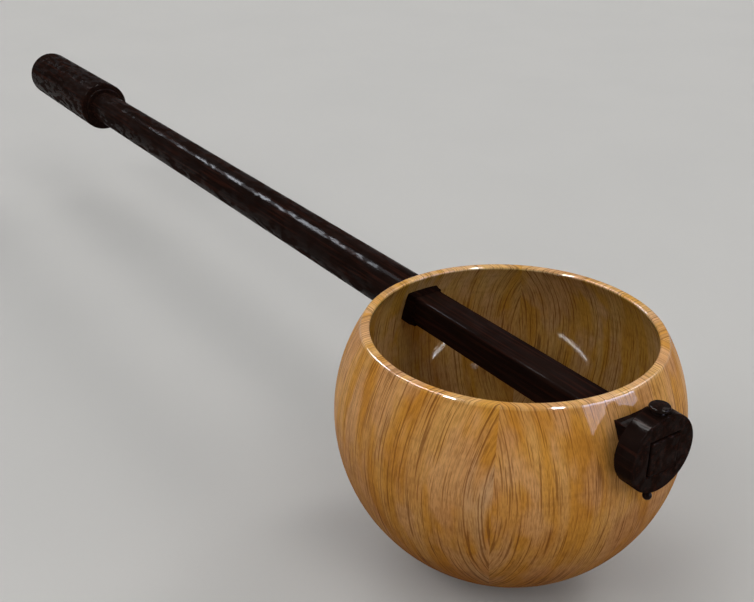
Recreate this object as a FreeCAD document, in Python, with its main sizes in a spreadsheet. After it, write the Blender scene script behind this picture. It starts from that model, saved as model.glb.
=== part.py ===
import FreeCAD, Part
import os

import Sketcher
from FreeCAD import Placement, Rotation, Vector

# A bowl-bodied folk instrument on a long through-neck, in millimetres.
#
# The origin is the middle of the grip, on the neck's axis.  +X runs along the neck from the
# grip to the bowl, +Z points up out of the bowl's mouth, and +Y is the instrument's left.
# The bowl is an open sphere glued up from four mitred quarters.  The neck is one stick: round
# where it is held, square where it passes through the bowl.  A round collar fits the square
# end that comes out of the bowl, and an upright peg through both locks it there.

PARTS_FOLDER = "parts"

# Driving dimensions: name, value, what it measures.
DIMENSIONS = [
    ("bowl_radius", 60.0, "outside radius of the bowl's sphere"),
    ("wall", 3.0, "thickness of the bowl's wall"),
    ("rim_rise", 32.1, "height of the rim above the sphere's centre"),
    ("rim_outer_round", 0.8, "rounding of the rim's outer edge"),
    ("rim_inner_round", 0.7, "rounding of the rim's inner edge"),
    ("bowl_reach", 435.0, "distance from the grip's middle to the sphere's centre"),
    ("neck_rise", 19.3, "height of the neck's axis above the sphere's centre"),
    ("shaft_diameter", 18.0, "round part of the neck"),
    ("bar_side", 11.6, "side of the neck's square part"),
    ("bar_round", 1.2, "rounding of the square part's edges"),
    ("bar_root", 5.0, "length of the square part buried in the round shaft"),
    ("scribe_stock", 10.0, "length of shaft past the bowl's skin before it is scribed"),
    ("glue_gap", 0.05, "gap left for glue round each fixed joint"),
    ("grip_diameter", 28.4, "outside of the grip"),
    ("grip_length", 103.0, "length of the grip"),
    ("butt_round", 2.0, "rounding of the grip's free end"),
    ("mouth_round", 0.9, "rounding of the grip's end at the shaft"),
    ("socket_depth", 70.0, "depth of the socket that takes the shaft"),
    ("socket_floor_gap", 1.0, "gap between the shaft's end and the bottom of its socket"),
    ("ring_diameter", 22.8, "outside of the ring in the grip's mouth"),
    ("ring_seat", 3.0, "depth that the ring is let into the grip"),
    ("ring_proud", 1.8, "length of the ring that stands out of the grip"),
    ("ring_round", 0.6, "rounding of the ring's outer edge"),
    ("collar_diameter", 25.8, "outside of the collar"),
    ("collar_thickness", 7.2, "thickness of the collar"),
    ("collar_round", 0.6, "rounding of the collar's two outer edges"),
    ("collar_mouth", 0.5, "chamfer round the collar's square hole, on its face"),
    ("bar_proud", 0.5, "how far the bar's end stands out of the collar's face"),
    ("bar_end_round", 0.45, "rounding of the bar's end"),
    ("peg_diameter", 3.2, "shank of the locking peg"),
    ("peg_gap", 0.05, "running gap round the peg's shank"),
    ("peg_tail", 5.2, "length of the peg that stands out below the collar"),
    ("peg_neck_diameter", 4.4, "shoulder of the peg, under its head"),
    ("peg_neck_height", 1.0, "height of that shoulder"),
    ("peg_head_diameter", 6.5, "head of the peg"),
    ("peg_head_height", 1.75, "height of the head"),
    ("peg_head_round", 0.7, "rounding of the head's upper edge"),
    ("peg_under_round", 0.4, "rounding of the head's lower edge"),
    ("seat_diameter", 5.2, "flat spot on the collar that the peg's shoulder rests on"),
    ("seat_depth", 0.3, "depth of that flat below the top of the collar"),
    ("bezel_depth", 18.0, "depth of the block that a bezel is cut from"),
    ("inner_bezel_start", 47.0, "thin end of an inner bezel, from the sphere's centre"),
    ("inner_lip", 0.2, "thickness of an inner bezel at its thin end"),
    ("inner_foot", 0.5, "thickness of an inner bezel where it meets the bowl"),
    ("inner_cove", 12.0, "radius of an inner bezel's hollow sides"),
    ("outer_lip", 0.35, "thickness of the outer bezel at its thin end"),
    ("outer_foot", 1.2, "thickness of the outer bezel where it meets the bowl"),
    ("outer_cove", 12.0, "radius of the outer bezel's hollow sides"),
]

# The four quarters of the bowl, and how far each is turned about +Z from the front one.
QUARTERS = {"front": 0, "left": 90, "rear": 180, "right": 270}
QUARTER_ANGLE = 90.0
FULL_TURN = 6.283185307179586

# Places that several pieces share, as expressions on the sheet.
COLLAR_BACK = "Sizes.bowl_reach + Sizes.bowl_radius"
PEG_X = f"{COLLAR_BACK} + Sizes.collar_thickness / 2"
SEAT_Z = "Sizes.collar_diameter / 2 - Sizes.seat_depth"

# Two edges nearer than this, in millimetres, are taken to be at the same place.
SAME_PLACE = 1e-4


document = FreeCAD.newDocument("through_neck_bowl")


# ---------------------------------------------------------------- sheet and small helpers


def make_sheet():
    """Write the driving dimensions into a spreadsheet, one aliased cell each."""
    sheet = document.addObject("Spreadsheet::Sheet", "Sizes")
    for row, (alias, value, note) in enumerate(DIMENSIONS, start=1):
        sheet.set(f"A{row}", alias.replace("_", " "))
        sheet.set(f"B{row}", str(value))
        sheet.setAlias(f"B{row}", alias)
        sheet.set(f"C{row}", note)
    document.recompute()
    return sheet


def bind(item, prop, expression):
    """Tie a property of an object, or a named constraint of a sketch, to the sheet."""
    item.setExpression(prop, expression)


def origin_plane(body, role):
    """Return the body's own origin plane that has this role."""
    for feature in body.Origin.OriginFeatures:
        if feature.Role == role:
            return feature
    raise LookupError(f"{body.Label} has no {role}")


def add_body(label):
    """Start a PartDesign body whose label names its node."""
    body = document.addObject("PartDesign::Body", label)
    body.Label = label
    return body


def add_sketch(body, name, role, offset=None):
    """Add a sketch on an origin plane, moved along the plane's normal by an expression."""
    sketch = body.newObject("Sketcher::SketchObject", name)
    sketch.AttachmentSupport = (origin_plane(body, role), [""])
    sketch.MapMode = "FlatFace"
    if offset is not None:
        bind(sketch, "AttachmentOffset.Base.z", offset)
        document.recompute()
    return sketch


def add_dimension(sketch, name, expression, kind, *places):
    """Add a driving constraint, name it and bind it to the sheet."""
    value = float(sketch.evalExpression(expression))
    index = sketch.addConstraint(Sketcher.Constraint(kind, *places, value))
    sketch.renameConstraint(index, name)
    bind(sketch, f"Constraints.{name}", expression)


def place_point(sketch, name, line, end, across, up):
    """Fix one end of a line at two expressions, the sketch's own x and y."""
    axes = (("x", across, "DistanceX", -2), ("y", up, "DistanceY", -1))
    for letter, expression, kind, axis in axes:
        if expression == "0":
            sketch.addConstraint(Sketcher.Constraint("PointOnObject", line, end, axis))
        else:
            add_dimension(sketch, f"{name}_{letter}", expression, kind, -1, 1, line, end)


def draw_polygon(sketch, corners):
    """Draw a closed outline of straight lines through corners given as expression pairs."""
    points = []
    for across, up in corners:
        x = float(sketch.evalExpression(across))
        y = float(sketch.evalExpression(up))
        points.append(Vector(x, y, 0))
    count = len(points)
    for index in range(count):
        sketch.addGeometry(Part.LineSegment(points[index], points[(index + 1) % count]))
    for index in range(count):
        following = (index + 1) % count
        sketch.addConstraint(Sketcher.Constraint("Coincident", index, 2, following, 1))
    for index, (across, up) in enumerate(corners):
        place_point(sketch, f"corner{index}", index, 1, across, up)


def draw_circle(sketch, radius, across="0", up="0"):
    """Draw a circle whose radius and centre are expressions."""
    x = float(sketch.evalExpression(across))
    y = float(sketch.evalExpression(up))
    start = float(sketch.evalExpression(radius))
    sketch.addGeometry(Part.Circle(Vector(x, y, 0), Vector(0, 0, 1), start))
    add_dimension(sketch, "radius", radius, "Radius", 0)
    place_point(sketch, "centre", 0, 3, across, up)


def square_corners(half, middle="0"):
    """Return the corners of an upright square about a height on the sketch's y axis."""
    low = f"{middle} - ({half})"
    high = f"{middle} + ({half})"
    return [(f"-({half})", low), (half, low), (half, high), (f"-({half})", high)]


def pad(body, name, sketch, length, symmetric=False):
    """Pad a sketch along its normal by an expression."""
    feature = body.newObject("PartDesign::Pad", name)
    feature.Profile = sketch
    if symmetric:
        feature.SideType = "Symmetric"
    bind(feature, "Length", length)
    document.recompute()
    return feature


def pocket(body, name, sketch, length=None, away=False, symmetric=False):
    """Pocket a sketch, through everything unless a length is given, and check it cuts."""
    before = body.Shape.Volume
    feature = body.newObject("PartDesign::Pocket", name)
    feature.Profile = sketch
    feature.Reversed = away
    if symmetric:
        feature.SideType = "Symmetric"
    if length is None:
        feature.Type = "ThroughAll"
    else:
        bind(feature, "Length", length)
    document.recompute()
    if body.Shape.Volume >= before:
        raise ValueError(f"{body.Label}: {name} removed nothing")
    return feature


def revolve(body, name, sketch, axis, angle=360.0):
    """Revolve a sketch about one of its own axes, evenly to both sides."""
    feature = body.newObject("PartDesign::Revolution", name)
    feature.Profile = sketch
    feature.ReferenceAxis = (sketch, [axis])
    feature.Angle = angle
    feature.Midplane = True
    document.recompute()
    return feature


def edge_names(shape, wanted):
    """Name the edges of a shape for which wanted(edge) is true."""
    names = [f"Edge{i}" for i, edge in enumerate(shape.Edges, start=1) if wanted(edge)]
    if not names:
        raise LookupError("no edge matches")
    return names


def circle_at(axis, place, radius):
    """Return a test for circular edges of a radius at a place along the x or z axis."""

    def test(edge):
        if edge.Degenerated or not isinstance(edge.Curve, Part.Circle):
            return False
        centre = getattr(edge.Curve.Center, axis)
        same_radius = abs(edge.Curve.Radius - radius) < SAME_PLACE
        return same_radius and abs(centre - place) < SAME_PLACE

    return test


def round_edges(body, name, wanted, radius):
    """Fillet the edges of the body's tip that pass a test."""
    tip = body.Tip
    names = edge_names(tip.Shape, wanted)
    feature = body.newObject("PartDesign::Fillet", name)
    feature.Base = (tip, names)
    bind(feature, "Radius", radius)
    document.recompute()
    return feature


def set_place(item, x="0", z="0", turn=0.0):
    """Place an object by expressions along X and Z, turned by degrees about Z."""
    item.Placement = Placement(Vector(0, 0, 0), Rotation(Vector(0, 0, 1), turn))
    bind(item, "Placement.Base.x", x)
    bind(item, "Placement.Base.z", z)


def size(alias):
    """Read one driving dimension."""
    return float(sizes.get(alias))


# ------------------------------------------------------------------------------ the bowl


def make_bowl_quarter(side, turn):
    """Make one mitred quarter of the open sphere, with a mortise if the neck crosses it.

    The quarter is modelled about the sphere's centre with its middle along local +X.
    """
    body = add_body(f"bowl_{side}_quarter")
    outer, inner = size("bowl_radius"), size("bowl_radius") - size("wall")
    rim = size("rim_rise")
    sketch = add_sketch(body, f"{side}_section", "XZ_Plane")
    normal = Vector(0, 0, 1)
    arcs = []
    for radius in (outer, inner):
        circle = Part.Circle(Vector(0, 0, 0), normal, radius)
        start = circle.parameter(Vector(0, -radius, 0))
        end = circle.parameter(Vector((radius**2 - rim**2) ** 0.5, rim, 0))
        arcs.append(sketch.addGeometry(Part.ArcOfCircle(circle, start - FULL_TURN, end)))
    outer_arc, inner_arc = arcs
    across = (outer**2 - rim**2) ** 0.5, (inner**2 - rim**2) ** 0.5
    rim_line = sketch.addGeometry(
        Part.LineSegment(Vector(across[0], rim, 0), Vector(across[1], rim, 0))
    )
    pole_line = sketch.addGeometry(Part.LineSegment(Vector(0, -inner, 0), Vector(0, -outer, 0)))
    joins = (
        (outer_arc, 2, rim_line, 1),
        (rim_line, 2, inner_arc, 2),
        (inner_arc, 1, pole_line, 1),
        (pole_line, 2, outer_arc, 1),
        (outer_arc, 3, -1, 1),
        (inner_arc, 3, -1, 1),
    )
    for join in joins:
        sketch.addConstraint(Sketcher.Constraint("Coincident", *join))
    sketch.addConstraint(Sketcher.Constraint("Horizontal", rim_line))
    for arc in arcs:
        sketch.addConstraint(Sketcher.Constraint("PointOnObject", arc, 1, -2))
    add_dimension(sketch, "outside", "Sizes.bowl_radius", "Radius", outer_arc)
    add_dimension(sketch, "inside", "Sizes.bowl_radius - Sizes.wall", "Radius", inner_arc)
    add_dimension(sketch, "rise", "Sizes.rim_rise", "DistanceY", -1, 1, outer_arc, 2)
    revolve(body, f"{side}_shell", sketch, "V_Axis", QUARTER_ANGLE)

    on_outer_edge = circle_at("z", rim, across[0])
    on_inner_edge = circle_at("z", rim, across[1])
    round_edges(body, f"{side}_outer_rim", on_outer_edge, "Sizes.rim_outer_round")
    round_edges(body, f"{side}_inner_rim", on_inner_edge, "Sizes.rim_inner_round")
    if side in ("front", "rear"):
        hole = add_sketch(body, f"{side}_mortise", "YZ_Plane")
        draw_polygon(hole, square_corners("Sizes.bar_side / 2 + Sizes.glue_gap", "Sizes.neck_rise"))
        pocket(body, f"{side}_mortise_cut", hole, away=True)
    set_place(body, "Sizes.bowl_reach", "-Sizes.neck_rise", turn)
    return body


# ------------------------------------------------------------------------------ the neck


def draw_rounded_square(sketch, half, radius):
    """Draw a square about the sketch's origin with its corners rounded."""
    outer = float(sketch.evalExpression(half))
    fillet = float(sketch.evalExpression(radius))
    straight = outer - fillet
    turn = Rotation(Vector(0, 0, 1), 90)
    low = Vector(outer, -straight, 0)
    high = Vector(outer, straight, 0)
    middle = Vector(straight, straight, 0)
    mid_angle = Vector(1, 1, 0).normalize() * fillet
    far = Vector(straight, outer, 0)
    for _ in range(4):
        sketch.addGeometry(Part.LineSegment(low, high))
        sketch.addGeometry(Part.Arc(high, middle + mid_angle, far))
        low, high, middle, mid_angle, far = (
            turn.multVec(item) for item in (low, high, middle, mid_angle, far)
        )
    for corner in range(4):
        line, arc, following = 2 * corner, 2 * corner + 1, (2 * corner + 2) % 8
        sketch.addConstraint(Sketcher.Constraint("Tangent", line, 2, arc, 1))
        sketch.addConstraint(Sketcher.Constraint("Tangent", arc, 2, following, 1))
        if corner:
            sketch.addConstraint(Sketcher.Constraint("Equal", 1, arc))
    for line, direction in ((0, "Vertical"), (2, "Horizontal"), (4, "Vertical"), (6, "Horizontal")):
        sketch.addConstraint(Sketcher.Constraint(direction, line))
    add_dimension(sketch, "rounding", radius, "Radius", 1)
    add_dimension(sketch, "right", half, "DistanceX", -1, 1, 0, 1)
    add_dimension(sketch, "top", half, "DistanceY", -1, 1, 2, 1)
    add_dimension(sketch, "left", f"-({half})", "DistanceX", -1, 1, 4, 1)
    add_dimension(sketch, "bottom", f"-({half})", "DistanceY", -1, 1, 6, 1)


def make_neck():
    """Make the stick: a round shaft scribed to the bowl, then the square bar through it."""
    body = add_body("neck")
    start = "Sizes.grip_length / 2 - Sizes.socket_depth + Sizes.socket_floor_gap"
    skin = "Sizes.bowl_reach - Sizes.bowl_radius"
    shaft = add_sketch(body, "shaft_section", "YZ_Plane", start)
    draw_circle(shaft, "Sizes.shaft_diameter / 2")
    pad(body, "shaft", shaft, f"{skin} + Sizes.scribe_stock - ({start})")

    hollow = body.newObject("PartDesign::SubtractiveSphere", "scribed_shoulder")
    bind(hollow, "Radius", "Sizes.bowl_radius + Sizes.glue_gap")
    bind(hollow, "Placement.Base.x", "Sizes.bowl_reach")
    bind(hollow, "Placement.Base.z", "-Sizes.neck_rise")
    document.recompute()

    bar_start = f"{skin} - Sizes.bar_root"
    bar_end = f"{COLLAR_BACK} + Sizes.collar_thickness + Sizes.bar_proud"
    bar = add_sketch(body, "bar_section", "YZ_Plane", bar_start)
    draw_rounded_square(bar, "Sizes.bar_side / 2", "Sizes.bar_round")
    pad(body, "bar", bar, f"{bar_end} - ({bar_start})")

    end_x = float(bar.evalExpression(bar_end))

    def at_end(edge):
        return all(abs(vertex.X - end_x) < SAME_PLACE for vertex in edge.Vertexes)

    round_edges(body, "bar_end_rounding", at_end, "Sizes.bar_end_round")

    hole = add_sketch(body, "neck_peg_hole", "XY_Plane")
    draw_circle(hole, "Sizes.peg_diameter / 2 + Sizes.peg_gap", PEG_X)
    pocket(body, "neck_peg_bore", hole, symmetric=True)
    return body


# ------------------------------------------------------------------------------ the grip


def make_grip():
    """Make the grip: a plain cylinder with a blind socket and a seat for its ring."""
    body = add_body("grip")
    butt, mouth = "-Sizes.grip_length / 2", "Sizes.grip_length / 2"
    outside, seat = "Sizes.grip_diameter / 2", "Sizes.ring_diameter / 2 + Sizes.glue_gap"
    socket = "Sizes.shaft_diameter / 2 + Sizes.glue_gap"
    sketch = add_sketch(body, "grip_section", "XZ_Plane")
    draw_polygon(
        sketch,
        [
            (butt, "0"),
            (butt, outside),
            (mouth, outside),
            (mouth, seat),
            (f"{mouth} - Sizes.ring_seat", seat),
            (f"{mouth} - Sizes.ring_seat", socket),
            (f"{mouth} - Sizes.socket_depth", socket),
            (f"{mouth} - Sizes.socket_depth", "0"),
        ],
    )
    revolve(body, "grip_turning", sketch, "H_Axis")
    half, radius = size("grip_length") / 2, size("grip_diameter") / 2
    round_edges(body, "butt_rounding", circle_at("x", -half, radius), "Sizes.butt_round")
    round_edges(body, "mouth_rounding", circle_at("x", half, radius), "Sizes.mouth_round")
    return body


def make_grip_ring():
    """Make the ring that closes the grip's mouth round the shaft."""
    body = add_body("grip_ring")
    back = "Sizes.grip_length / 2 - Sizes.ring_seat"
    front = "Sizes.grip_length / 2 + Sizes.ring_proud"
    bore = "Sizes.shaft_diameter / 2 + Sizes.glue_gap"
    outside = "Sizes.ring_diameter / 2"
    sketch = add_sketch(body, "ring_section", "XZ_Plane")
    draw_polygon(sketch, [(back, bore), (back, outside), (front, outside), (front, bore)])
    revolve(body, "ring_turning", sketch, "H_Axis")
    place = size("grip_length") / 2 + size("ring_proud")
    on_edge = circle_at("x", place, size("ring_diameter") / 2)
    round_edges(body, "ring_rounding", on_edge, "Sizes.ring_round")
    return body


# ------------------------------------------------------------------- the collar and its peg


def make_collar():
    """Make the round collar with its square hole and the upright hole for the peg."""
    body = add_body("collar")
    disc = add_sketch(body, "collar_disc", "YZ_Plane", COLLAR_BACK)
    draw_circle(disc, "Sizes.collar_diameter / 2")
    pad(body, "collar_pad", disc, "Sizes.collar_thickness")
    back = float(disc.evalExpression(COLLAR_BACK))
    front = back + size("collar_thickness")
    radius = size("collar_diameter") / 2
    for name, place in (("back", back), ("front", front)):
        round_edges(body, f"collar_{name}", circle_at("x", place, radius), "Sizes.collar_round")

    square = add_sketch(body, "collar_square", "YZ_Plane", COLLAR_BACK)
    draw_polygon(square, square_corners("Sizes.bar_side / 2 + Sizes.glue_gap"))
    pocket(body, "collar_mortise", square, away=True)

    half = size("bar_side") / 2 + size("glue_gap") + SAME_PLACE

    def at_mouth(edge):
        return all(
            abs(vertex.X - front) < SAME_PLACE and max(abs(vertex.Y), abs(vertex.Z)) < half
            for vertex in edge.Vertexes
        )

    tip = body.Tip
    mouth_edges = edge_names(tip.Shape, at_mouth)
    chamfer = body.newObject("PartDesign::Chamfer", "collar_mouth_chamfer")
    chamfer.Base = (tip, mouth_edges)
    bind(chamfer, "Size", "Sizes.collar_mouth")
    document.recompute()

    hole = add_sketch(body, "collar_peg_hole", "XY_Plane")
    draw_circle(hole, "Sizes.peg_diameter / 2 + Sizes.peg_gap", PEG_X)
    pocket(body, "collar_peg_bore", hole, symmetric=True)
    flat = add_sketch(body, "collar_seat", "XY_Plane", SEAT_Z)
    draw_circle(flat, "Sizes.seat_diameter / 2", PEG_X)
    pocket(body, "collar_seat_cut", flat, away=True)
    return body


def make_locking_peg():
    """Make the peg: a headed pin that drops through the collar and the bar."""
    body = add_body("locking_peg")
    tail = "-Sizes.collar_diameter / 2 - Sizes.peg_tail"
    shoulder = f"{SEAT_Z} + Sizes.peg_neck_height"
    top = f"{shoulder} + Sizes.peg_head_height"
    shank, neck = "Sizes.peg_diameter / 2", "Sizes.peg_neck_diameter / 2"
    head = "Sizes.peg_head_diameter / 2"
    sketch = add_sketch(body, "peg_section", "XZ_Plane")
    draw_polygon(
        sketch,
        [
            ("0", tail),
            (shank, tail),
            (shank, SEAT_Z),
            (neck, SEAT_Z),
            (neck, shoulder),
            (head, shoulder),
            (head, top),
            ("0", top),
        ],
    )
    revolve(body, "peg_turning", sketch, "V_Axis")
    tail_z = float(sketch.evalExpression(tail))
    shoulder_z = float(sketch.evalExpression(shoulder))
    top_z = float(sketch.evalExpression(top))
    head_radius = size("peg_head_diameter") / 2
    tip_edge = circle_at("z", tail_z, size("peg_diameter") / 2)
    round_edges(body, "peg_tip", tip_edge, "Sizes.peg_diameter / 2 - 0.1")
    top_edge = circle_at("z", top_z, head_radius)
    round_edges(body, "peg_head_top", top_edge, "Sizes.peg_head_round")
    under_edge = circle_at("z", shoulder_z, head_radius)
    round_edges(body, "peg_head_under", under_edge, "Sizes.peg_under_round")
    set_place(body, PEG_X)
    return body


# ---------------------------------------------------------------------------- the bezels


def make_bezel(label, kind, start, turn=0.0):
    """Make a square, hollow-sided bezel that hides the gap where the bar meets the bowl.

    The kind is inner or outer.  It is cut from a block about the bar, in a frame with the
    sphere's centre as origin.  Its thin end faces local +X at the distance start, and it
    widens towards local -X.
    """
    lip = f"(Sizes.bar_side / 2 + Sizes.{kind}_lip)"
    foot = f"(Sizes.bar_side / 2 + Sizes.{kind}_foot)"
    cove = f"Sizes.{kind}_cove"
    block = document.addObject("Part::Box", f"{label}_block")
    bind(block, "Length", "Sizes.bezel_depth")
    bind(block, "Placement.Base.x", f"{start} - Sizes.bezel_depth")
    bind(block, "Width", f"2 * {foot}")
    bind(block, "Height", f"2 * {foot}")
    bind(block, "Placement.Base.y", f"-{foot}")
    bind(block, "Placement.Base.z", f"Sizes.neck_rise - {foot}")

    hole = document.addObject("Part::Box", f"{label}_hole")
    gap = "(Sizes.bar_side / 2 + Sizes.glue_gap)"
    bind(hole, "Length", "Sizes.bezel_depth + 2")
    bind(hole, "Placement.Base.x", f"{start} - Sizes.bezel_depth - 1")
    bind(hole, "Width", f"2 * {gap}")
    bind(hole, "Height", f"2 * {gap}")
    bind(hole, "Placement.Base.y", f"-{gap}")
    bind(hole, "Placement.Base.z", f"Sizes.neck_rise - {gap}")

    tools = [hole]
    for sign in (1, -1):
        for upright in (False, True):
            cylinder = document.addObject("Part::Cylinder", f"{label}_cove")
            bind(cylinder, "Radius", cove)
            bind(cylinder, "Height", f"4 * {foot}")
            bind(cylinder, "Placement.Base.x", start)
            reach = f"{sign} * ({lip} + {cove})"
            if upright:
                bind(cylinder, "Placement.Base.y", reach)
                bind(cylinder, "Placement.Base.z", f"Sizes.neck_rise - 2 * {foot}")
            else:
                cylinder.Placement.Rotation = Rotation(Vector(1, 0, 0), -90)
                bind(cylinder, "Placement.Base.y", f"-2 * {foot}")
                bind(cylinder, "Placement.Base.z", f"Sizes.neck_rise + {reach}")
            tools.append(cylinder)
    waste = document.addObject("Part::MultiFuse", f"{label}_waste")
    waste.Shapes = tools
    moulding = document.addObject("Part::Cut", f"{label}_moulding")
    moulding.Base = block
    moulding.Tool = waste

    ball = document.addObject("Part::Sphere", f"{label}_ball")
    if kind == "outer":
        bind(ball, "Radius", "Sizes.bowl_radius + Sizes.glue_gap")
        bezel = document.addObject("Part::Cut", label)
        bezel.Base = moulding
        bezel.Tool = ball
    else:
        bind(ball, "Radius", "Sizes.bowl_radius - Sizes.wall - Sizes.glue_gap")
        bezel = document.addObject("Part::MultiCommon", label)
        bezel.Shapes = [moulding, ball]
    bezel.Label = label
    set_place(bezel, "Sizes.bowl_reach", "-Sizes.neck_rise", turn)
    document.recompute()
    return bezel


# ------------------------------------------------------------------------ build and export


def check_document(pieces):
    """Stop if any feature failed or any piece is not one valid solid."""
    for item in document.Objects:
        if "Invalid" in item.State or "Error" in item.State:
            raise ValueError(f"{item.Label} failed: {item.State}")
    for piece in pieces:
        shape = piece.Shape
        if shape.isNull() or not shape.isValid():
            raise ValueError(f"{piece.Label} has no valid shape")
        if len(shape.Solids) != 1:
            raise ValueError(f"{piece.Label} is {len(shape.Solids)} solids")
        box = shape.BoundBox
        print(
            f"{piece.Label}: {shape.Volume:.1f} mm3, "
            f"x {box.XMin:.2f} to {box.XMax:.2f}, y {box.YMin:.2f} to {box.YMax:.2f}, "
            f"z {box.ZMin:.2f} to {box.ZMax:.2f}"
        )


def export_pieces(pieces):
    """Write each piece to its own STEP file, named by its label."""
    os.makedirs(PARTS_FOLDER, exist_ok=True)
    for piece in pieces:
        piece.Shape.exportStep(f"{PARTS_FOLDER}/{piece.Label}.step")


sizes = make_sheet()
all_pieces = [make_bowl_quarter(side, turn) for side, turn in QUARTERS.items()]
all_pieces += [
    make_neck(),
    make_grip(),
    make_grip_ring(),
    make_collar(),
    make_locking_peg(),
    make_bezel("rear_inner_bezel", "inner", "-Sizes.inner_bezel_start"),
    make_bezel("front_inner_bezel", "inner", "-Sizes.inner_bezel_start", 180.0),
    make_bezel("front_outer_bezel", "outer", "Sizes.bowl_radius"),
]
document.recompute()
check_document(all_pieces)
export_pieces(all_pieces)
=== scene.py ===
"""Looks of an open wooden bowl on a dark through-neck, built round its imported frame.

Meshes are in metres and in the frame's own axes: +X runs along the neck from the grip to the
bowl and +Z points up out of the bowl's mouth.  Inside the finishes, lengths are in millimetres,
because that is the scale at which a maker reads grain.
"""

import logging
import math
from dataclasses import dataclass
from enum import Enum

import bmesh
import bpy
from mathutils import Matrix, Vector


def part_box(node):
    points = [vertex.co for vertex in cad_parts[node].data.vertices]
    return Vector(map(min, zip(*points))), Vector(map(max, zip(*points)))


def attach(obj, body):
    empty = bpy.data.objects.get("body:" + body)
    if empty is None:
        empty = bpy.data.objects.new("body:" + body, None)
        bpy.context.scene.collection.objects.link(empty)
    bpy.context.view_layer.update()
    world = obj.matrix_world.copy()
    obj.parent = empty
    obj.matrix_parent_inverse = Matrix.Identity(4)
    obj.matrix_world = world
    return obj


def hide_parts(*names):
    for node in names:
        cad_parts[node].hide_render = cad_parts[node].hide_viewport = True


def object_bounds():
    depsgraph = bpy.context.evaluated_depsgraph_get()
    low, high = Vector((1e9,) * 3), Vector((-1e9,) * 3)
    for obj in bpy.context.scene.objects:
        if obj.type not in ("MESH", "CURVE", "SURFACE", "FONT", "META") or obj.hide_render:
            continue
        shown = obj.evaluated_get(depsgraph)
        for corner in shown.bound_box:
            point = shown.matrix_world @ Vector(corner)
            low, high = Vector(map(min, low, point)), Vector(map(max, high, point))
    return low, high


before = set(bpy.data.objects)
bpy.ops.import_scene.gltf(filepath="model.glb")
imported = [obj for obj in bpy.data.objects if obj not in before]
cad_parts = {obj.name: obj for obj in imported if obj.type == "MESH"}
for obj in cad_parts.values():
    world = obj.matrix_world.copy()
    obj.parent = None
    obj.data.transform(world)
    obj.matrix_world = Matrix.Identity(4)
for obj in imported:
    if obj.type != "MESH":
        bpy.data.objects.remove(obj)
CAD_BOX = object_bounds()

MILLIMETRE = 0.001
PER_MILLIMETRE = 1000.0

HALF_TURN = 180.0
QUARTER_TURN = 90.0
ON_AXIS = 1e-6

Colour = tuple[float, float, float]
Point = tuple[float, float]

MIX_FACTOR = 0
MIX_FIRST_COLOUR = 6
MIX_SECOND_COLOUR = 7
MIX_RESULT_COLOUR = 2

WARM_WHITE: Colour = (1.0, 0.985, 0.96)
SKY_WHITE: Colour = (0.86, 0.92, 1.0)
WINDOW_BLUE: Colour = (0.66, 0.70, 1.0)

log = logging.getLogger("through_neck_bowl")


class RingPlane(Enum):
    """Which way the grain's layers stand in a board: across the neck's line or along it."""

    ACROSS_NECK = "layers of constant y"
    ALONG_NECK = "layers of constant x"


class LightRole(Enum):
    """What a light is for: shading surfaces, showing in their gloss, or both."""

    SHADE = "shades only"
    SHEEN = "shows in gloss only"
    BOTH = "shades and shows in gloss"


class PanelShape(Enum):
    """The outline of a light."""

    ROUND = "ELLIPSE"
    SQUARE = "RECTANGLE"


class StickAxis(Enum):
    """The axis that a turned or planed piece's fibres follow."""

    X = 0
    Z = 2


# ------------------------------------------------------------------------- shader expressions


class Signal:
    """The output socket of a node, used in Python expressions as the value it carries."""

    def __init__(self, graph: "Graph", socket: bpy.types.NodeSocket) -> None:
        """Wrap a socket.

        Args:
            graph: The graph that the socket's node belongs to.
            socket: The output socket.
        """
        self.graph = graph
        self.socket = socket

    def _math(self, operation: str, first: "Signal | float", second: "Signal | float") -> "Signal":
        """Add one Math node.

        Args:
            operation: The Math node's operation.
            first: The value of its first socket.
            second: The value of its second socket.

        Returns:
            The node's result.
        """
        return self.graph.signal("ShaderNodeMath", {"operation": operation}, {0: first, 1: second})

    def __add__(self, other: "Signal | float") -> "Signal":
        """Return the sum."""
        return self._math("ADD", self, other)

    def __radd__(self, other: float) -> "Signal":
        """Return the sum, with the number first."""
        return self._math("ADD", other, self)

    def __sub__(self, other: "Signal | float") -> "Signal":
        """Return the difference."""
        return self._math("SUBTRACT", self, other)

    def __rsub__(self, other: float) -> "Signal":
        """Return the difference, with the number first."""
        return self._math("SUBTRACT", other, self)

    def __mul__(self, other: "Signal | float") -> "Signal":
        """Return the product."""
        return self._math("MULTIPLY", self, other)

    def __rmul__(self, other: float) -> "Signal":
        """Return the product, with the number first."""
        return self._math("MULTIPLY", other, self)


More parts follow.
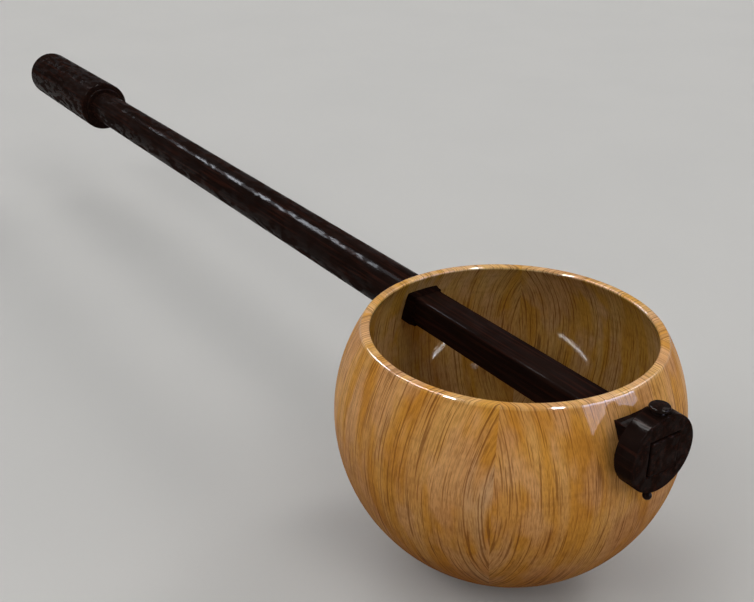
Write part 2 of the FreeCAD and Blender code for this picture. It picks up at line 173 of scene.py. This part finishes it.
class Graph:
    """The node tree of one material, and the few kinds of node that the finishes need."""

    def __init__(self, name: str) -> None:
        """Start a material with an empty node tree.

        Args:
            name: The material's name.
        """
        self.material = bpy.data.materials.new(name)
        self.material.use_nodes = True
        self.tree = self.material.node_tree
        self.tree.nodes.clear()

    def node(
        self,
        kind: str,
        settings: dict[str, object] | None = None,
        inputs: dict[int | str, object] | None = None,
    ) -> bpy.types.Node:
        """Add a node, set it up and connect it.

        Args:
            kind: The node's type.
            settings: Attributes of the node, set first.
            inputs: A value, or a signal to link, for each socket named or numbered.

        Returns:
            The node.
        """
        item = self.tree.nodes.new(kind)
        for name, value in (settings or {}).items():
            setattr(item, name, value)
        for socket, value in (inputs or {}).items():
            if isinstance(value, Signal):
                self.tree.links.new(value.socket, item.inputs[socket])
            else:
                item.inputs[socket].default_value = value
        return item

    def signal(
        self,
        kind: str,
        settings: dict[str, object] | None = None,
        inputs: dict[int | str, object] | None = None,
        output: int | str = 0,
    ) -> Signal:
        """Add a node and return one of its outputs.

        Args:
            kind: The node's type.
            settings: Attributes of the node, set first.
            inputs: A value, or a signal to link, for each socket named or numbered.
            output: The output, named or numbered.

        Returns:
            The chosen output.
        """
        return Signal(self, self.node(kind, settings, inputs).outputs[output])

    def place(self, origin: Vector) -> tuple[Signal, ...]:
        """Read where the surface is.

        Args:
            origin: The point to measure from, in metres.

        Returns:
            The surface's x, y and z from that point, in millimetres.
        """
        coordinates = self.signal("ShaderNodeTexCoord", output="Object")
        shifted = self.signal(
            "ShaderNodeVectorMath", {"operation": "SUBTRACT"}, {0: coordinates, 1: origin}
        )
        scaled = self.signal(
            "ShaderNodeVectorMath", {"operation": "SCALE"}, {0: shifted, "Scale": PER_MILLIMETRE}
        )
        parts = self.node("ShaderNodeSeparateXYZ", inputs={0: scaled})
        return tuple(Signal(self, socket) for socket in parts.outputs)

    def vector(self, x: Signal | float, y: Signal | float, z: Signal | float) -> Signal:
        """Join three values into a vector."""
        return self.signal("ShaderNodeCombineXYZ", inputs={0: x, 1: y, 2: z})

    def length(self, vector: Signal) -> Signal:
        """Return a vector's length."""
        return self.signal(
            "ShaderNodeVectorMath", {"operation": "LENGTH"}, {0: vector}, output="Value"
        )

    def noise(self, vector: Signal, detail: float = 2.0) -> Signal:
        """Return smooth noise, about 0.5 in the middle, whose features are a unit across.

        Args:
            vector: Where to read the noise.
            detail: How many finer layers are added.

        Returns:
            The noise's value.
        """
        return self.signal(
            "ShaderNodeTexNoise",
            {"noise_dimensions": "3D", "normalize": True},
            {"Vector": vector, "Scale": 1.0, "Detail": detail, "Roughness": 0.5},
        )

    def step(self, value: Signal, low: float, high: float) -> Signal:
        """Return 0 below low, 1 above high, and a smooth rise between them."""
        return self.signal(
            "ShaderNodeMapRange",
            {"interpolation_type": "SMOOTHSTEP"},
            {"Value": value, "From Min": low, "From Max": high},
        )

    def mix(self, factor: Signal, first: Signal | Colour, second: Signal | Colour) -> Signal:
        """Mix two colours.

        Args:
            factor: 0 gives the first colour and 1 the second.
            first: A colour or a signal that carries one.
            second: A colour or a signal that carries one.

        Returns:
            The mixed colour.
        """
        first, second = (
            item if isinstance(item, Signal) else (*item, 1.0) for item in (first, second)
        )
        return self.signal(
            "ShaderNodeMix",
            {"data_type": "RGBA"},
            {MIX_FACTOR: factor, MIX_FIRST_COLOUR: first, MIX_SECOND_COLOUR: second},
            MIX_RESULT_COLOUR,
        )

    def tint(self, colour: Signal, by: Colour) -> Signal:
        """Return a colour multiplied by another."""
        return self.signal("ShaderNodeVectorMath", {"operation": "MULTIPLY"}, {0: colour, 1: by})

    def shade(self, share: Signal, colour: Signal, by: Colour) -> Signal:
        """Tint a colour where a share calls for it.

        Args:
            share: 0 leaves the colour alone and 1 tints it fully.
            colour: The colour.
            by: The tint.

        Returns:
            The colour, tinted in part.
        """
        return self.mix(share, colour, self.tint(colour, by))

    def bump(self, height: Signal, depth: float, strength: float) -> Signal:
        """Turn a height into a normal.

        Args:
            height: The height, from 0 to 1.
            depth: What a height of 1 stands for, in millimetres.
            strength: How much of the effect is kept.

        Returns:
            The bumped normal.
        """
        return self.signal(
            "ShaderNodeBump",
            inputs={"Strength": strength, "Distance": depth * MILLIMETRE, "Height": height},
        )

    def surface(self, sockets: dict[str, object]) -> bpy.types.Material:
        """Finish the material with one Principled shader.

        Args:
            sockets: The shader's socket names, each with a value or a signal.

        Returns:
            The finished material.
        """
        shader = self.signal("ShaderNodeBsdfPrincipled", inputs=sockets)
        self.node("ShaderNodeOutputMaterial", inputs={"Surface": shader})
        return self.material


# ------------------------------------------------------------------------------- the finishes


@dataclass(frozen=True)
class Figure:
    """One kind of mark in the wood: how large it is, and where and how strongly it shows.

    The width is across the fibres and the length along them, in millimetres.  The shift keeps
    this figure's noise apart from the others', and detail is how many finer layers it has.  A
    mark fades in as the noise goes from low to high, and then covers the wood by its strength.
    """

    width: float
    length: float
    shift: float
    detail: float
    low: float
    high: float
    strength: float = 1.0

    def marks(self, noise: Signal) -> Signal:
        """Return where the marks are: 0 in the wood between them and 1 in the marks."""
        return noise.graph.step(noise, self.low, self.high)

    def cover(self, noise: Signal) -> Signal:
        """Return how much of the wood the marks cover."""
        return self.marks(noise) * self.strength


@dataclass(frozen=True)
class Rise:
    """The heights above the bowl's centre, in millimetres, between which a change takes place."""

    low: float
    high: float


@dataclass(frozen=True)
class LacqueredOak:
    """Golden oak under gloss lacquer, with its grain upright. Sizes are in millimetres.

    The first colours are the ripe straw-coloured wood, its deeper gold and pinkish bands, the
    brown of its streaks and pores, and the pale sapwood.  The tints multiply them: on the inside,
    on the rim as a paler painted sheen, towards the foot outside and towards the bottom inside as
    a painted shade, and in cloudy patches.
    """

    straw: Colour = (0.71, 0.365, 0.102)
    gold: Colour = (0.66, 0.296, 0.042)
    blush: Colour = (0.71, 0.372, 0.152)
    streak: Colour = (0.18, 0.056, 0.011)
    sapwood: Colour = (0.66, 0.440, 0.240)
    inside_tint: Colour = (0.84, 1.02, 1.16)
    # Painted sheen: the rim is made paler to stand in for light on it.
    rim_painted_sheen: Colour = (1.22, 1.38, 1.70)
    # Painted shade: the outside is darkened towards the foot.
    foot_painted_shade: Colour = (0.44, 0.36, 0.25)
    # Painted shade: the inside is darkened towards the bottom.
    bottom_painted_shade: Colour = (0.66, 0.60, 0.52)
    cloud_tint: Colour = (0.80, 0.66, 0.55)

    fibre: Figure = Figure(0.62, 26.0, 3.1, 2.0, 0.48, 0.72, 0.30)
    hair: Figure = Figure(0.33, 2.6, 37.7, 3.0, 0.40, 0.68, 0.34)
    band: Figure = Figure(6.5, 60.0, 7.3, 1.0, 0.38, 0.60)
    patch: Figure = Figure(9.0, 22.0, 11.9, 2.0, 0.46, 0.62, 0.75)
    cloud: Figure = Figure(16.0, 26.0, 53.9, 2.0, 0.42, 0.62, 0.50)
    late_wood: Figure = Figure(0.46, 24.0, 17.7, 0.0, 0.64, 0.72, 0.66)
    pore: Figure = Figure(0.40, 13.0, 29.1, 0.0, 0.66, 0.76, 0.55)
    ray: Figure = Figure(9.0, 2.4, 43.3, 1.0, 0.48, 0.74, 0.13)

    sway_width: float = 26.0
    sway_length: float = 48.0
    sway_reach: float = 3.2
    sapwood_fade: float = 9.0
    sapwood_band_low: float = 0.40
    sapwood_band_high: float = 0.56
    sapwood_strength: float = 0.8

    wall_middle: float = 57.3
    wall_blend: float = 0.2
    rim: Rise = Rise(31.0, 31.6)
    # Heights over which the painted shade at the foot fades out.
    painted_shade_at_foot: Rise = Rise(-52.0, 22.0)
    # Heights over which the painted shade at the bottom fades out.
    painted_shade_at_bottom: Rise = Rise(-24.0, 22.0)
    lacquer: Rise = Rise(-30.0, 22.0)
    lacquer_low: float = 0.10
    lacquer_gain: float = 0.18

    roughness: float = 0.34
    fibre_roughness: float = 0.16
    pore_roughness: float = 0.20
    surface_height: float = 0.6
    grain_relief: float = 0.3
    bump_depth: float = 0.06
    bump_strength: float = 0.5

    def material(
        self, name: str, rings: RingPlane, centre: Vector, sapwood_at: float, seed: float
    ) -> bpy.types.Material:
        """Make the finish for one quarter of the bowl.

        Args:
            name: The material's name.
            rings: Which way the grain's layers stand in this quarter.
            centre: The centre of the bowl's sphere, in metres.
            sapwood_at: How far across the quarter its paler sapwood starts, in millimetres.
            seed: Where in the wood this quarter was cut.

        Returns:
            The material.
        """
        graph = Graph(name)
        x, y, z = graph.place(centre)
        across = y if rings is RingPlane.ACROSS_NECK else x
        sway_at = graph.vector(across * (1 / self.sway_width), z * (1 / self.sway_length), seed)
        swayed = across + (graph.noise(sway_at) - 0.5) * self.sway_reach

        def grain(figure: Figure) -> Signal:
            """Return a figure's noise, drawn out along the fibres."""
            where = graph.vector(
                swayed * (1 / figure.width), z * (1 / figure.length), seed + figure.shift
            )
            return graph.noise(where, figure.detail)

        fibre = grain(self.fibre)
        band = grain(self.band)
        pore = grain(self.pore)

        colour = graph.mix(self.band.cover(band), self.gold, self.straw)
        colour = graph.mix(self.patch.cover(grain(self.patch)), colour, self.blush)
        colour = graph.shade(self.cloud.cover(grain(self.cloud)), colour, self.cloud_tint)
        sap = graph.step(across, sapwood_at, sapwood_at + self.sapwood_fade)
        sap_bands = graph.step(band, self.sapwood_band_low, self.sapwood_band_high)
        colour = graph.mix(sap * sap_bands * self.sapwood_strength, colour, self.sapwood)
        for figure, noise in (
            (self.ray, grain(self.ray)),
            (self.fibre, fibre),
            (self.hair, grain(self.hair)),
            (self.pore, pore),
            (self.late_wood, grain(self.late_wood)),
        ):
            colour = graph.mix(figure.cover(noise), colour, self.streak)

        from_centre = graph.length(graph.vector(x, y, z))
        outside = graph.step(
            from_centre, self.wall_middle - self.wall_blend, self.wall_middle + self.wall_blend
        )
        inside = 1 - outside
        # Painted shade: darker towards the foot outside and towards the bottom inside.
        painted_shade_at_foot = outside * (1 - graph.step(z, self.painted_shade_at_foot.low, self.painted_shade_at_foot.high))
        painted_shade_at_bottom = inside * (1 - graph.step(z, self.painted_shade_at_bottom.low, self.painted_shade_at_bottom.high))
        rim = graph.step(z, self.rim.low, self.rim.high)
        # Tints by place: the inside's own tint, the painted shade at the foot and the bottom, and
        # the rim's painted sheen.
        for share, by in (
            (inside, self.inside_tint),
            (painted_shade_at_foot, self.foot_painted_shade),
            (painted_shade_at_bottom, self.bottom_painted_shade),
            (rim, self.rim_painted_sheen),
        ):
            colour = graph.shade(share, colour, by)

        glossy = 1 - (1 - rim) * outside
        lacquer = graph.step(z, self.lacquer.low, self.lacquer.high) * self.lacquer_gain
        coat = glossy + (1 - glossy) * (self.lacquer_low + lacquer)
        pores = self.pore.marks(pore)
        height = self.surface_height - fibre * self.grain_relief - pores * self.grain_relief
        return graph.surface(
            {
                "Base Color": colour,
                "Roughness": self.roughness
                + fibre * self.fibre_roughness
                + pores * self.pore_roughness,
                "Specular IOR Level": 0.0,
                "Coat Weight": coat,
                "Coat Roughness": 0.06,
                "Coat IOR": 1.45,
                "Normal": graph.bump(height, self.bump_depth, self.bump_strength),
            }
        )


@dataclass(frozen=True)
class PolishedDarkwood:
    """Near-black hardwood, planed or turned and then polished. Sizes are in millimetres.

    The ripple is the slight unevenness that the tool leaves.  The polish takes on the ripple's
    high places, except between the flecks, and there is a little wax over everything.
    """

    heart: Colour = (0.0100, 0.0050, 0.0038)
    vein_colour: Colour = (0.042, 0.013, 0.008)
    ash: Colour = (0.018, 0.010, 0.008)

    vein: Figure = Figure(1.1, 30.0, 1.7, 2.0, 0.46, 0.72, 0.5)
    ripple: Figure = Figure(3.2, 8.0, 9.1, 1.0, 0.46, 0.55)
    fleck: Figure = Figure(0.5, 3.5, 13.9, 2.0, 0.34, 0.48)
    cloud: Figure = Figure(9.6, 32.0, 5.3, 2.0, 0.45, 0.70, 0.5)

    wax: float = 0.05
    polish: float = 0.30
    roughness: float = 0.42
    fleck_roughness: float = 0.12
    ripple_share: float = 0.8
    fleck_share: float = 0.2
    ripple_depth: float = 0.10

    def material(self, name: str, axis: StickAxis, seed: float) -> bpy.types.Material:
        """Make the finish for one dark piece.

        Args:
            name: The material's name.
            axis: The axis that the fibres follow.
            seed: Where in the wood this piece was cut.

        Returns:
            The material.
        """
        graph = Graph(name)
        place = graph.place(Vector((0.0, 0.0, 0.0)))

        def grain(figure: Figure) -> Signal:
            """Return a figure's noise, drawn out along the fibres."""
            scaled = [
                value * (1 / (figure.length if index == axis.value else figure.width))
                + (seed + figure.shift)
                for index, value in enumerate(place)
            ]
            return graph.noise(graph.vector(*scaled), figure.detail)

        ripple = grain(self.ripple)
        fleck = grain(self.fleck)
        colour = graph.mix(self.vein.cover(grain(self.vein)), self.heart, self.vein_colour)
        colour = graph.mix(self.cloud.cover(grain(self.cloud)), colour, self.ash)
        polished = self.ripple.cover(ripple) * self.fleck.cover(fleck)
        height = ripple * self.ripple_share + fleck * self.fleck_share
        return graph.surface(
            {
                "Base Color": colour,
                "Roughness": self.roughness + fleck * self.fleck_roughness,
                "Specular IOR Level": 0.0,
                "Coat Weight": self.wax + polished * self.polish,
                "Coat Roughness": 0.15,
                "Coat IOR": 1.16,
                "Normal": graph.bump(height, self.ripple_depth, 1.0),
            }
        )


@dataclass(frozen=True)
class PaintedFloor:
    """The matt pale paint of a studio floor. Sizes are in millimetres."""

    pale: Colour = (0.570, 0.560, 0.548)
    shade: Colour = (0.558, 0.549, 0.538)
    mottle: float = 120.0
    mottle_detail: float = 3.0
    mottle_low: float = 0.3
    mottle_high: float = 0.7
    roughness: float = 0.75
    mottle_roughness: float = 0.1
    bump_depth: float = 0.2
    bump_strength: float = 0.1

    def material(self) -> bpy.types.Material:
        """Make the floor's finish.

        Returns:
            The material.
        """
        graph = Graph("studio_floor")
        x, y, _ = graph.place(Vector((0.0, 0.0, 0.0)))
        where = graph.vector(x * (1 / self.mottle), y * (1 / self.mottle), 0.0)
        cloud = graph.noise(where, self.mottle_detail)
        mottled = graph.step(cloud, self.mottle_low, self.mottle_high)
        return graph.surface(
            {
                "Base Color": graph.mix(mottled, self.pale, self.shade),
                "Roughness": self.roughness + cloud * self.mottle_roughness,
                "Specular IOR Level": 0.0,
                "Normal": graph.bump(cloud, self.bump_depth, self.bump_strength),
            }
        )


# --------------------------------------------------------------------------- the sub-assemblies


def put_on(piece: bpy.types.Object, material: bpy.types.Material) -> None:
    """Give a piece one material in place of what it has.

    Args:
        piece: The mesh object.
        material: Its finish.
    """
    piece.data.materials.clear()
    piece.data.materials.append(material)


@dataclass
class Bowl:
    """The open sphere, glued up from four mitred quarters.

    The sapwood starts so far from the bowl's middle, in millimetres.  Where that is the wall's
    own outside, the quarter has none.
    """

    sapwood_at: float = 30.0
    no_sapwood: float = 60.0
    finish: LacqueredOak = LacqueredOak()

    def __post_init__(self) -> None:
        """Read the sphere's radius and centre from the frame."""
        rear_low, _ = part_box("bowl_rear_quarter")
        _, front_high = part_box("bowl_front_quarter")
        self.radius = (front_high.x - rear_low.x) / 2
        self.centre = Vector((rear_low.x + self.radius, 0.0, rear_low.z + self.radius))

    def dress(self) -> None:
        """Finish the quarters, each with its rings, where its sapwood starts and its seed."""
        quarters = {
            "bowl_front_quarter": (RingPlane.ACROSS_NECK, self.no_sapwood, 4.2),
            "bowl_left_quarter": (RingPlane.ALONG_NECK, self.no_sapwood, 31.6),
            "bowl_rear_quarter": (RingPlane.ACROSS_NECK, self.no_sapwood, 57.4),
            "bowl_right_quarter": (RingPlane.ALONG_NECK, self.sapwood_at, 83.9),
        }
        for node, (rings, sapwood_at, seed) in quarters.items():
            oak = self.finish.material(f"{node}_oak", rings, self.centre, sapwood_at, seed)
            put_on(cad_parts[node], oak)
            log.info("%s: oak, %s", node, rings.value)


@dataclass
class DarkFittings:
    """The neck and the dark pieces glued or fitted to it, all cut from the same hardwood."""

    finish: PolishedDarkwood = PolishedDarkwood()

    def dress(self) -> None:
        """Finish each piece, as cut from its own place in the plank."""
        seeds = {
            "neck": 2.0,
            "grip": 23.0,
            "grip_ring": 41.0,
            "collar": 59.0,
            "rear_inner_bezel": 71.0,
            "front_inner_bezel": 83.0,
            "front_outer_bezel": 97.0,
        }
        for node, seed in seeds.items():
            wood = self.finish.material(f"{node}_wood", StickAxis.X, seed)
            put_on(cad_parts[node], wood)
            log.info("%s: dark hardwood", node)


@dataclass
class LockingPeg:
    """The turned peg: a domed button head on a waisted shoulder, a shank and a ball tip.

    Radii and heights are in millimetres; a rise is measured up from the tip and a drop down from
    the crown.  The ball's arc and the crease, above which an edge is sharp, are in degrees.
    """

    shank: float = 1.6
    shank_rise: float = 4.5
    ball: float = 1.45
    ball_arc: float = 140.0
    waist: float = 1.2
    waist_rise: float = 3.4
    waist_top: float = 1.3
    waist_top_rise: float = 3.9
    shoulder: float = 2.2
    shoulder_waist: float = 1.95
    shoulder_drop: float = 2.75
    head: float = 3.25
    head_drop: float = 1.75
    crown_dip: float = 0.28
    crease: float = 40.0
    steps: int = 12
    segments: int = 72
    seed: float = 113.0
    finish: PolishedDarkwood = PolishedDarkwood(
        ripple=Figure(1.6, 3.5, 9.1, 1.0, 0.46, 0.55),
        cloud=Figure(4.8, 14.0, 5.3, 2.0, 0.45, 0.70, 0.5),
        ripple_depth=0.03,
        wax=0.6,
        polish=0.4,
    )

    def profile(self, low: float, high: float) -> list[Point]:
        """Draw the peg's outline from its tip to its crown.

        Args:
            low: Height of the tip.
            high: Height of the crown.

        Returns:
            Pairs of radius and height in millimetres, starting and ending on the axis.
        """
        seat = high - self.shoulder_drop
        under = high - self.head_drop
        edge = (self.head_drop - self.crown_dip) / 2
        inset = self.head - edge
        return [
            (0.0, low),
            *self.arc(0.0, low + self.ball, self.ball, self.ball_arc)[1:],
            (self.waist, low + self.waist_rise),
            (self.waist_top, low + self.waist_top_rise),
            (self.shank, low + self.shank_rise),
            (self.shank, seat),
            (self.shoulder, seat),
            (self.shoulder_waist, (seat + under) / 2),
            (self.shoulder, under),
            *self.arc(inset, under + edge, edge, HALF_TURN),
            *self.crown(inset, high),
        ]

    def arc(self, out: float, height: float, radius: float, sweep: float) -> list[Point]:
        """Draw an arc that starts straight below its centre.

        Args:
            out: How far the arc's centre is from the axis.
            height: The height of its centre.
            radius: Its radius.
            sweep: How far it goes round, in degrees.

        Returns:
            Points of the outline, from the lowest up.
        """
        angles = [
            math.radians(sweep * step / (self.steps - 1) - QUARTER_TURN)
            for step in range(self.steps)
        ]
        return [
            (out + radius * math.cos(angle), height + radius * math.sin(angle))
            for angle in angles
        ]

    def crown(self, inset: float, high: float) -> list[Point]:
        """Draw the head's shallow dome.

        Args:
            inset: The radius at which the dome starts.
            high: The height of its middle.

        Returns:
            Points of the outline, from the dome's edge to the axis.
        """
        shares = [1 - step / self.steps for step in range(1, self.steps + 1)]
        return [(inset * share, high - self.crown_dip * share**2) for share in shares]

    def turn(self, outline: list[Point], axis: Vector) -> bpy.types.Mesh:
        """Turn an outline round an upright axis.

        Args:
            outline: The points to turn, each end of them on the axis.
            axis: A point of the axis, in metres.

        Returns:
            The turned mesh, in metres.
        """
        work = bmesh.new()
        rings = []
        for radius, height in outline:
            corners = self.segments if radius > ON_AXIS else 1
            reach = radius * MILLIMETRE
            ring = []
            for index in range(corners):
                angle = 2 * math.pi * index / corners
                x = axis.x + reach * math.cos(angle)
                y = axis.y + reach * math.sin(angle)
                ring.append(work.verts.new((x, y, height * MILLIMETRE)))
            rings.append(ring)
        for lower, upper in zip(rings, rings[1:]):
            for index in range(self.segments):
                following = (index + 1) % self.segments
                face = [
                    lower[index % len(lower)],
                    lower[following % len(lower)],
                    upper[following % len(upper)],
                    upper[index % len(upper)],
                ]
                work.faces.new(dict.fromkeys(face))
        bmesh.ops.recalc_face_normals(work, faces=work.faces)
        mesh = bpy.data.meshes.new("turned_peg")
        work.to_mesh(mesh)
        work.free()
        mesh.shade_smooth()
        mesh.set_sharp_from_angle(angle=math.radians(self.crease))
        return mesh

    def build(self) -> bpy.types.Object:
        """Turn the peg in the place of its CAD solid.

        Returns:
            The peg, riding on its own body.
        """
        low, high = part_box("locking_peg")
        outline = self.profile(low.z * PER_MILLIMETRE, high.z * PER_MILLIMETRE)
        peg = bpy.data.objects.new("turned_peg", self.turn(outline, (low + high) / 2))
        bpy.context.scene.collection.objects.link(peg)
        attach(peg, "peg")
        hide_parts("locking_peg")
        return peg

    def dress(self, peg: bpy.types.Object) -> None:
        """Finish the peg, with its fibres upright."""
        put_on(peg, self.finish.material("turned_peg_wood", StickAxis.Z, self.seed))
        log.info("turned_peg: %d faces, rides on peg", len(peg.data.polygons))


# ---------------------------------------------------------------------------------- the studio


@dataclass(frozen=True)
class Softbox:
    """One soft light, by where it stands and how large it looks from the bowl.

    Angles are in degrees, and the azimuth turns from the neck's own direction.  The distance is
    in metres.
    """

    name: str
    azimuth: float
    elevation: float
    width: float
    height: float
    radiance: float
    colour: Colour = WARM_WHITE
    role: LightRole = LightRole.SHADE
    shape: PanelShape = PanelShape.ROUND
    distance: float = 8.0

    def outward(self) -> Vector:
        """Return the direction from the bowl to the light."""
        level = math.cos(math.radians(self.elevation))
        return Vector(
            (
                level * math.cos(math.radians(self.azimuth)),
                level * math.sin(math.radians(self.azimuth)),
                math.sin(math.radians(self.elevation)),
            )
        )

    def across(self, angle: float) -> float:
        """Return how wide the light is, in metres, if it looks so many degrees wide."""
        return 2 * self.distance * math.tan(math.radians(angle / 2))

    def build(self, target: Vector) -> None:
        """Hang the light and aim it.

        Args:
            target: The point that the light faces.
        """
        lamp = bpy.data.lights.new(self.name, "AREA")
        lamp.shape = self.shape.value
        width = self.across(self.width)
        height = self.across(self.height)
        lamp.size = width
        lamp.size_y = height
        lamp.color = self.colour
        fill = math.pi / 4 if self.shape is PanelShape.ROUND else 1.0
        lamp.energy = self.radiance * math.pi * fill * width * height
        holder = bpy.data.objects.new(self.name, lamp)
        holder.visible_camera = False
        holder.visible_glossy = self.role is not LightRole.SHADE
        holder.visible_diffuse = self.role is not LightRole.SHEEN
        holder.location = target + self.outward() * self.distance
        holder.rotation_euler = (-self.outward()).to_track_quat("-Z", "Y").to_euler()
        bpy.context.scene.collection.objects.link(holder)
        log.info("%s: %s", self.name, self.role.value)


@dataclass
class Studio:
    """The floor, the lights and the camera.

    The floor's reach and the camera's nearest distance are in metres, the lens and the sensor in
    millimetres, and the camera's heading, tilt and roll in degrees.  The viewpoint is where the
    camera stands from the bowl's centre, in radii of the bowl.
    """

    bowl: Bowl
    floor_reach: float = 14.0
    floor_cells: int = 28
    ambient: Colour = (0.87, 0.94, 1.0)
    ambient_strength: float = 0.22
    lens: float = 48.284
    sensor: float = 36.0
    heading: float = 55.984
    tilt: float = 26.179
    roll: float = 0.073
    nearest: float = 0.01
    viewpoint: tuple[float, float, float] = (3.7016, -3.4074, 3.1340)
    finish: PaintedFloor = PaintedFloor()
    softboxes: tuple[Softbox, ...] = (
        Softbox("right_overhead", 0.0, 60.0, 30.0, 30.0, 1.36),
        Softbox("right_side", 0.0, 35.0, 30.0, 30.0, 2.20),
        Softbox("left_overhead", 180.0, 65.0, 30.0, 30.0, 0.81),
        Softbox("left_wall", 180.0, 40.0, 50.0, 50.0, 1.45),
        Softbox("near_side", -90.0, 45.0, 30.0, 30.0, 3.45),
        Softbox("far_side", 90.0, 46.0, 14.0, 14.0, 4.8, role=LightRole.BOTH),
        Softbox("far_side_left", 105.0, 46.0, 20.0, 20.0, 2.35, role=LightRole.BOTH),
        Softbox("far_side_low", 90.0, 38.0, 20.0, 20.0, 3.45, role=LightRole.BOTH),
        Softbox("front_fill", 28.0, 17.0, 40.0, 16.0, 1.68),
        Softbox(
            "front_window",
            azimuth=30.0,
            elevation=18.0,
            width=38.0,
            height=18.0,
            radiance=13.0,
            colour=WINDOW_BLUE,
            role=LightRole.SHEEN,
            shape=PanelShape.SQUARE,
        ),
        Softbox("grip_side_gleam", -174.0, 37.0, 11.0, 20.0, 46.0, SKY_WHITE, LightRole.SHEEN),
        Softbox("left_gleam", -157.0, 60.0, 10.0, 30.0, 50.0, role=LightRole.SHEEN),
        Softbox("near_gleam", -95.0, 50.0, 7.0, 16.0, 340.0, role=LightRole.SHEEN),
        Softbox("right_gleam", 5.0, 54.0, 5.5, 16.0, 380.0, role=LightRole.SHEEN),
    )

    def build(self) -> None:
        """Lay the floor, hang the lights and set up the camera."""
        self._lay_floor()
        for softbox in self.softboxes:
            softbox.build(self.bowl.centre)
        self._light_the_room()
        self._place_camera()

    def _lay_floor(self) -> None:
        """Lay a flat floor under the bowl."""
        level = CAD_BOX[0].z
        mesh = bpy.data.meshes.new("studio_floor")
        work = bmesh.new()
        bmesh.ops.create_grid(
            work, x_segments=self.floor_cells, y_segments=self.floor_cells, size=self.floor_reach
        )
        bmesh.ops.translate(work, verts=work.verts, vec=(self.bowl.centre.x, 0.0, level))
        work.to_mesh(mesh)
        work.free()
        floor = bpy.data.objects.new("studio_floor", mesh)
        bpy.context.scene.collection.objects.link(floor)
        put_on(floor, self.finish.material())
        log.info("studio_floor: at z %.4f", level)

    def _light_the_room(self) -> None:
        """Give the room its faint even light, and show colours as they are."""
        world = bpy.data.worlds.new("studio")
        world.use_nodes = True
        background = world.node_tree.nodes["Background"]
        background.inputs["Color"].default_value = (*self.ambient, 1.0)
        background.inputs["Strength"].default_value = self.ambient_strength
        bpy.context.scene.world = world
        bpy.context.scene.view_settings.view_transform = "Standard"
        bpy.context.scene.view_settings.look = "None"

    def _place_camera(self) -> None:
        """Stand the camera in front of the bowl, looking down along the neck."""
        data = bpy.data.cameras.new("studio_camera")
        data.sensor_width = self.sensor
        data.lens = self.lens
        data.clip_start = self.nearest
        camera = bpy.data.objects.new("studio_camera", data)
        turn = Matrix.Rotation(math.radians(self.heading), 3, "Z")
        lean = Matrix.Rotation(math.radians(QUARTER_TURN - self.tilt), 3, "X")
        twist = Matrix.Rotation(math.radians(self.roll), 3, "Z")
        stand = self.bowl.centre + Vector(self.viewpoint) * self.bowl.radius
        camera.matrix_world = Matrix.Translation(stand) @ (turn @ lean @ twist).to_4x4()
        bpy.context.scene.collection.objects.link(camera)
        bpy.context.scene.camera = camera


def main() -> None:
    """Dress the frame, build the detailed pieces and set up the studio."""
    logging.basicConfig(level=logging.INFO, format="%(message)s")
    bowl = Bowl()
    bowl.dress()
    DarkFittings().dress()
    peg = LockingPeg()
    peg.dress(peg.build())
    Studio(bowl).build()


if __name__ == "__main__":
    main()
